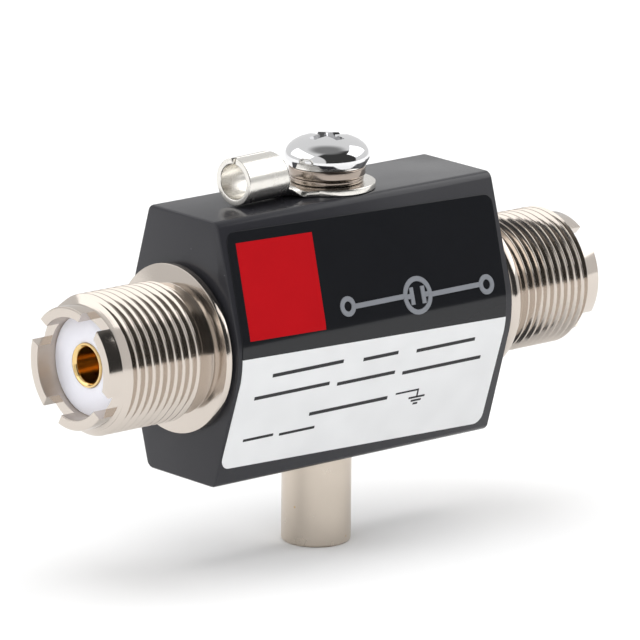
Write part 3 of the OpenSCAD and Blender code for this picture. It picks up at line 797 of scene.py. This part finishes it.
class ARRESTOR_OT_shells(bpy.types.Operator):
    """Model the threaded socket shells at both ends"""
    bl_idname = "arrestor.shells"
    bl_label = "Socket shells"

    def execute(self, context):
        sizes = sizes_of(context.scene, "arrestor_socket")
        rear, spigot, mouth = (d / 2 for d in (sizes.rear_bore, sizes.spigot, sizes.mouth))
        flange, neck, crest, rim = (d / 2 for d in (sizes.flange, sizes.neck, sizes.thread, sizes.rim))
        relief, rear_end = sizes.flange_relief, -sizes.spigot_length
        flange_end = relief + sizes.flange_thickness
        shell = turned("right_socket_shell", [
            (rear_end, rear), (rear_end, spigot), (0.0, spigot), (0.0, flange - relief), (relief, flange),
            (flange_end, flange), (flange_end, neck),
            (sizes.thread_start, neck), (sizes.thread_start + sizes.thread_lead, crest),
            (sizes.thread_end, crest), (sizes.rim_start, rim), (SHELL_REACH, rim), (SHELL_REACH, mouth),
            (sizes.shoulder, mouth), (sizes.shoulder, rear),
        ])
        soften(shell, width=0.09)
        for quarter in range(4):
            notch = added("notch", bpy.ops.mesh.primitive_cube_add, (rim, sizes.notch, rim), size=1.0,
                          location=(sizes.rim_start + rim / 2, 0.0, rim))
            place(notch, rotation=(math.pi / 2 * quarter, 0.0, 0.0))
            combine(shell, notch, "DIFFERENCE")
        run_in, run_out = 0.5, 0.7
        cut_thread(shell, crest, sizes.thread_root / 2, sizes.pitch, sizes.thread_start - run_in,
                   sizes.rim_start + run_out)

        # Plate goes on thin in a bore, so the inner walls are duller than the outside
        shell.data.materials.clear()
        for name, roughness in (("bright_nickel_plate", 0.13), ("dull_nickel_plate", 0.42)):
            shell.data.materials.append(plated(name, context.scene.arrestor_finish.nickel, roughness, "X"))
        dull, margin, inward = 1, 0.1, -0.5
        for face in shell.data.polygons:
            outward = Vector((0.0, face.center.y, face.center.z))
            if outward.length < mouth + margin and face.normal.dot(outward) < inward * outward.length:
                face.material_index = dull
        fit_both_ends(shell, None, "shell", sizes.right_turn, sizes.left_turn)
        return {"FINISHED"}


class ARRESTOR_OT_contacts(bpy.types.Operator):
    """Model the insulators and the gold-plated contacts of both sockets"""
    bl_idname = "arrestor.contacts"
    bl_label = "Insulators and contacts"

    def execute(self, context):
        sizes = sizes_of(context.scene, "arrestor_socket")
        colours = context.scene.arrestor_finish
        contact_edge, pin, tail = (d / 2 for d in (sizes.contact, sizes.socket, sizes.tail))
        rear, mouth = sizes.rear_bore / 2 - sizes.fit, sizes.mouth / 2 - sizes.fit
        hole = contact_edge + sizes.fit
        rear_end, shoulder, face = -sizes.spigot_length, sizes.shoulder + sizes.fit, sizes.insulator_face
        insulator = turned("right_insulator_disc", [
            (rear_end, hole), (rear_end, rear), (shoulder, rear), (shoulder, mouth),
            (face, mouth), (face, hole),
        ])
        soften(insulator, width=0.12)
        front, lead = sizes.contact_face, sizes.socket_lead
        floor, tail_end = front - sizes.socket_depth, rear_end - sizes.tail_length
        contact = turned("right_contact_socket", [
            (tail_end, 0.0), (tail_end, tail), (rear_end, tail), (rear_end, contact_edge),
            (front, contact_edge), (front, pin + lead), (front - lead, pin), (floor, pin), (floor, 0.0),
        ])
        soften(contact, width=0.06)
        fit_both_ends(insulator, white_fluoropolymer(colours), "insulator")
        fit_both_ends(contact, plated("gold_plate", colours.gold, 0.14, "X"), "contact")
        return {"FINISHED"}


class ARRESTOR_OT_screw(bpy.types.Operator):
    """Model the earth screw with its domed head, cross recess and thread"""
    bl_idname = "arrestor.screw"
    bl_label = "Earth screw"

    def execute(self, context):
        sizes = sizes_of(context.scene, "arrestor_earth")
        head, shank, end = sizes.head / 2, sizes.shank / 2, -sizes.shank_length
        rim, top, deep = sizes.head_rim, sizes.head_height, sizes.recess_depth
        power = 2.0 / sizes.dome_fullness
        dome_steps = 40
        climb = [math.pi / 2 * i / dome_steps for i in range(dome_steps)]
        dome = [(rim + (top - rim) * math.sin(a) ** power, head * math.cos(a) ** power) for a in climb]
        lip_lean = math.radians(116.0)
        lip = arc((rim, head - sizes.lip), sizes.lip, lip_lean, math.pi / 2, steps=4)[:-1]
        screw = turned("earth_screw", [
            (end, 0.0), (end, shank - sizes.tip), (end + sizes.tip, shank), (0.0, shank),
            (0.0, head - sizes.undercut)] + lip + dome + [(top, 0.0)])

        # The punch that makes an arm of the recess is as tall above the head as below, and tapers downwards
        punch = (2 * deep, sizes.recess * 1.7, sizes.recess_width * 1.3)
        taper = (1.0, 0.25, 0.55)
        for quarter in range(2):
            arm = added("recess_arm", bpy.ops.mesh.primitive_cube_add, punch, size=1.0,
                        location=(top, 0.0, 0.0))
            edit(arm)
            pick(arm, "verts", lambda v: v.co.x < top)
            bpy.ops.transform.resize(value=taper, center_override=(top - deep, 0.0, 0.0))
            place(arm, rotation=(math.pi / 2 * quarter, 0.0, 0.0))
            combine(screw, arm, "DIFFERENCE")
        cut_thread(screw, shank, sizes.shank_root / 2, sizes.pitch, end - sizes.pitch, -sizes.shank_plain)
        place(screw, (SCREW_X, 0.0, SCREW_LOW.z - end), UPRIGHT)
        chrome = plated("bright_chrome_plate", context.scene.arrestor_finish.chrome, 0.06)
        hand_over(screw, chrome, "screw", ["ground_screw"])
        return {"FINISHED"}


class ARRESTOR_OT_washers(bpy.types.Operator):
    """Model the split spring washer and the flat washer"""
    bl_idname = "arrestor.washers"
    bl_label = "Washers"

    def execute(self, context):
        sizes = sizes_of(context.scene, "arrestor_earth")
        nickel = plated("nickel_washer_plate", context.scene.arrestor_finish.washer, 0.18, "Z", depth=0.02)
        split = sizes.split / (sizes.spring_washer / 2)
        spring = flat_ring("split_washer", sizes.hole, sizes.spring_washer, SPRING_HIGH.z - SPRING_LOW.z,
                           math.tau - split)
        soften(spring, width=0.24, segments=4)
        place(spring, rotation=(split / 2, 0.0, 0.0))
        place(spring, rotation=UPRIGHT)
        place(spring, (SCREW_X, 0.0, SPRING_LOW.z), (0.0, 0.0, math.pi))
        hand_over(spring, nickel, "washers", ["spring_washer"])
        flat = flat_ring("plain_washer", sizes.hole, sizes.flat_washer, WASHER_HIGH.z - WASHER_LOW.z)
        soften(flat, width=0.15, segments=3)
        place(flat, (SCREW_X, 0.0, WASHER_LOW.z), UPRIGHT)
        hand_over(flat, nickel, "washers", ["flat_washer"])
        return {"FINISHED"}


def ease(value):
    """Eases from 0 to 1."""
    value = min(1.0, max(0.0, value))
    return value * value * (3.0 - 2.0 * value)


class ARRESTOR_OT_lug(bpy.types.Operator):
    """Model the ring lug: a flat sheet that rolls up into a barrel with a butt seam"""
    bl_idname = "arrestor.lug"
    bl_label = "Ring lug"

    def execute(self, context):
        sizes = sizes_of(context.scene, "arrestor_earth")
        start, reach, sheet = sizes.tongue_start, sizes.barrel_reach, sizes.sheet
        roll = sizes.barrel / 2 - sheet / 2
        rolled = reach - sizes.barrel_length
        blank = math.pi * roll - sizes.seam / 2
        ring_clearance = 0.2
        curl = sizes.ring / 2 + ring_clearance
        # The tongue is a hair thinner than the ring, so that no two faces lie in one plane when they weld
        skim = 0.01

        def half_width(s):
            """Half the width of the flat blank at a distance from the screw's axis."""
            neck = max(sizes.tongue_waist / 2, sizes.tongue_root / 2 - sizes.tongue_slope * s)
            wide = neck + (blank - neck) * ease((s - rolled + sizes.shoulder) / sizes.shoulder)
            return wide - sizes.nick * max(0.0, (s - reach + sizes.nick_length) / sizes.nick_length) ** 2

        lug = added("ring_lug", bpy.ops.mesh.primitive_grid_add, x_subdivisions=120, y_subdivisions=72,
                    size=2.0)
        # Each cross row of the blank is bent to its own curve: flat at the ring, a full roll at the barrel
        for vertex in lug.data.vertices:
            s = start + (reach - start) * (vertex.co.x + 1.0) / 2
            across = half_width(s) * vertex.co.y
            rise = ease((s - curl) / (rolled - sizes.shoulder - curl))
            bend = rise / roll
            base = sheet / 2 + sizes.barrel_lift * rise
            angle = across * bend
            if bend > 1e-6:
                vertex.co = (s, math.sin(angle) / bend, base + (1.0 - math.cos(angle)) / bend)
            else:
                vertex.co = (s, across, base)
        apply_modifier(lug, "SOLIDIFY", thickness=sheet - 2 * skim, offset=0.0, use_even_offset=True)
        soften(lug, width=0.1, segments=3, angle=50.0)
        ring = flat_ring("lug_ring", sizes.hole, sizes.ring, sheet)
        soften(ring, width=0.1, segments=3)
        place(ring, rotation=UPRIGHT)
        combine(lug, ring, "UNION")
        place(lug, (SCREW_X, 0.0, LUG_LOW.z), (0.0, 0.0, math.pi + sizes.lug_turn))
        tin = plated("matt_tin_plate", context.scene.arrestor_finish.tin, 0.24, depth=0.03, cloud_size=1.5)
        hand_over(lug, tin, "lug", ["ground_lug"], smooth=35.0)
        return {"FINISHED"}


class ARRESTOR_OT_cap(bpy.types.Operator):
    """Model the screwed cap that holds the gas tube"""
    bl_idname = "arrestor.cap"
    bl_label = "Gas tube cap"

    def execute(self, context):
        sizes = sizes_of(context.scene, "arrestor_cap")
        edge, bore, foot, top = sizes.diameter / 2, sizes.bore / 2, sizes.foot_radius, CAP_HIGH.z
        floor = top - sizes.bore_depth
        lower_edge = arc((foot, edge - foot), foot, math.pi, math.pi / 2, steps=8)
        cap = turned("screwed_cap", [(0.0, 0.0)] + lower_edge + [
            (top - sizes.chamfer, edge), (top, edge - sizes.chamfer), (top, bore), (floor, bore),
            (floor, 0.0)])
        thread_start, thread_end = BLOCK_LOW.z + sizes.thread_start, top + sizes.pitch
        cut_thread(cap, edge, sizes.root / 2, sizes.pitch, thread_start, thread_end)
        place(cap, (CAP_X, 0.0, CAP_LOW.z), UPRIGHT)
        hand_over(cap, satin_nickel(context.scene.arrestor_finish), "cap", ["gas_tube_cap"])
        return {"FINISHED"}


class ARRESTOR_OT_inner_pieces(bpy.types.Operator):
    """Finish the conductor, the gas tube and its spring, which keep the form of their CAD solids"""
    bl_idname = "arrestor.inner_pieces"
    bl_label = "Inner pieces"

    def execute(self, context):
        colours = context.scene.arrestor_finish
        steel = plated("electrode_steel", colours.electrode, 0.25, "Z")
        finishes = {
            "centre_conductor": plated("turned_brass", colours.brass, 0.22, "X"),
            "gas_tube_upper_electrode": steel,
            "gas_tube_lower_electrode": steel,
            "gas_tube_ceramic": fired_ceramic(colours),
            "contact_spring": plated("spring_steel", colours.spring, 0.3, depth=0.1),
        }
        for solid, finish in finishes.items():
            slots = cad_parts[solid].data.materials
            slots.clear()
            slots.append(finish)
        return {"FINISHED"}


def direction(azimuth, elevation):
    """Direction from the object to a place round it, with azimuth 0 in front."""
    level = math.cos(elevation)
    return Vector((math.sin(azimuth) * level, -math.cos(azimuth) * level, math.sin(elevation)))


class ARRESTOR_OT_stage(bpy.types.Operator):
    """Set up the floor, the soft studio light and the camera"""
    bl_idname = "arrestor.stage"
    bl_label = "Stage"

    def execute(self, context):
        scene = context.scene
        studio = scene.arrestor_studio
        floor = added("floor", bpy.ops.mesh.primitive_circle_add, vertices=128, radius=studio.floor_radius,
                      fill_type="NGON")
        floor.data.materials.append(paper_floor(scene.arrestor_finish))
        self.camera(scene, studio)
        # Azimuth and elevation in degrees, distance and size in metres, power, and whether gloss mirrors it
        for name, azimuth, elevation, distance, size, power, mirrored in (
                ("left_softbox", -126.0, 30.0, 0.62, (0.85, 0.45), studio.softbox_power, True),
                ("right_softbox", 70.0, 36.0, 0.62, (0.6, 0.4), studio.softbox_power, True),
                ("front_fill", -25.0, 28.0, 0.9, (0.6, 0.5), studio.fill_power, False),
                ("overhead_fill", 0.0, 90.0, 1.2, (1.2, 1.2), studio.overhead_power, False)):
            away = direction(math.radians(azimuth), math.radians(elevation))
            self.softbox(scene, name, away, distance, size, power).visible_glossy = mirrored
        self.backdrop(scene, studio)
        scene.view_settings.view_transform = "Standard"
        return {"FINISHED"}

    def camera(self, scene, studio):
        """Puts the camera where the photograph was taken from."""
        back = direction(studio.azimuth, studio.elevation)
        level = Vector((math.cos(studio.azimuth), math.sin(studio.azimuth), 0.0))
        upright = back.cross(level)
        right = math.cos(studio.roll) * level + math.sin(studio.roll) * upright
        up = math.cos(studio.roll) * upright - math.sin(studio.roll) * level
        lens = bpy.data.cameras.new("camera")
        lens.lens = studio.lens
        lens.sensor_width = 36.0
        lens.clip_start, lens.clip_end = 0.05, 20.0
        camera = bpy.data.objects.new("camera", lens)
        turned_to = Matrix((right, up, back)).transposed().to_4x4()
        camera.matrix_world = Matrix.Translation(Vector(studio.camera)) @ turned_to
        scene.collection.objects.link(camera)
        scene.camera = camera

    def softbox(self, scene, name, away, distance, size, power):
        """Hangs a soft rectangular light that faces the object."""
        light = bpy.data.lights.new(name, "AREA")
        light.shape = "RECTANGLE"
        light.size, light.size_y = size
        light.energy = power
        box = bpy.data.objects.new(name, light)
        box.location = Vector((0.0, 0.0, LINE_Z * MM)) + away * distance
        box.rotation_euler = away.to_track_quat("Z", "Y").to_euler()
        scene.collection.objects.link(box)
        return box

    def backdrop(self, scene, studio):
        """Lights the room: a white sweep behind and beside the object, dark in front, a grey ceiling."""
        dark_room, grey_ceiling = 0.06, 0.3
        world = bpy.data.worlds.new("studio")
        world.use_nodes = True
        tree = world.node_tree
        tree.nodes.clear()
        ray = node(tree, "TexCoord", {}).outputs["Generated"]
        axes = node(tree, "SeparateXYZ", {0: ray}).outputs
        sideways = node(tree, "Math", {0: axes["X"]}, operation="ABSOLUTE")
        # Where each part of the room starts and is full, along one axis of the ray's direction
        beside, behind, above = [
            node(tree, "MapRange", {"Value": value, "From Min": start, "From Max": full},
                 interpolation_type="SMOOTHSTEP")
            for value, start, full in (
                (sideways, 0.67, 0.71), (axes["Y"], -0.32, -0.14), (axes["Z"], 0.82, 0.97))]
        lit = node(tree, "Math", {0: beside, 1: behind}, operation="MAXIMUM")
        wall = node(tree, "Mix", {0: lit, 2: dark_room, 3: studio.backdrop}, data_type="FLOAT")
        room = node(tree, "Mix", {0: above, 2: wall, 3: grey_ceiling}, data_type="FLOAT")
        seen = node(tree, "LightPath", {}).outputs["Is Camera Ray"]
        strength = node(tree, "Mix", {0: seen, 2: room, 3: studio.backdrop}, data_type="FLOAT")
        node(tree, "OutputWorld", {"Surface": node(tree, "Background", {"Strength": strength})})
        scene.world = world


class ARRESTOR_PT_sidebar(bpy.types.Panel):
    """Sizes, colours and steps of the arrestor"""
    bl_idname = "ARRESTOR_PT_sidebar"
    bl_label = "Arrestor"
    bl_space_type = "VIEW_3D"
    bl_region_type = "UI"
    bl_category = "Arrestor"

    def draw(self, context):
        for step in STEPS:
            self.layout.operator(step.bl_idname)
        for name, group in GROUPS.items():
            box = self.layout.box()
            box.label(text=group.__doc__)
            for key in group.__annotations__:
                box.prop(getattr(context.scene, name), key)


GROUPS = {
    "arrestor_block": BlockSizes,
    "arrestor_label": LabelSizes,
    "arrestor_socket": SocketSizes,
    "arrestor_earth": EarthSizes,
    "arrestor_cap": CapSizes,
    "arrestor_finish": FinishColours,
    "arrestor_studio": StudioSettings,
}
STEPS = (
    ARRESTOR_OT_block,
    ARRESTOR_OT_label,
    ARRESTOR_OT_shells,
    ARRESTOR_OT_contacts,
    ARRESTOR_OT_screw,
    ARRESTOR_OT_washers,
    ARRESTOR_OT_lug,
    ARRESTOR_OT_cap,
    ARRESTOR_OT_inner_pieces,
    ARRESTOR_OT_stage,
)


def register():
    """Registers the classes and hangs the property groups on the scene."""
    for part in (*GROUPS.values(), *STEPS, ARRESTOR_PT_sidebar):
        bpy.utils.register_class(part)
    for name, group in GROUPS.items():
        setattr(bpy.types.Scene, name, bpy.props.PointerProperty(type=group))


def unregister():
    """Takes the property groups off the scene and unregisters the classes."""
    for name in GROUPS:
        delattr(bpy.types.Scene, name)
    for part in reversed((*GROUPS.values(), *STEPS, ARRESTOR_PT_sidebar)):
        bpy.utils.unregister_class(part)


def main():
    register()
    bpy.ops.arrestor.block()
    bpy.ops.arrestor.label()
    bpy.ops.arrestor.shells()
    bpy.ops.arrestor.contacts()
    bpy.ops.arrestor.screw()
    bpy.ops.arrestor.washers()
    bpy.ops.arrestor.lug()
    bpy.ops.arrestor.cap()
    bpy.ops.arrestor.inner_pieces()
    bpy.ops.arrestor.stage()


if __name__ == "__main__":
    main()
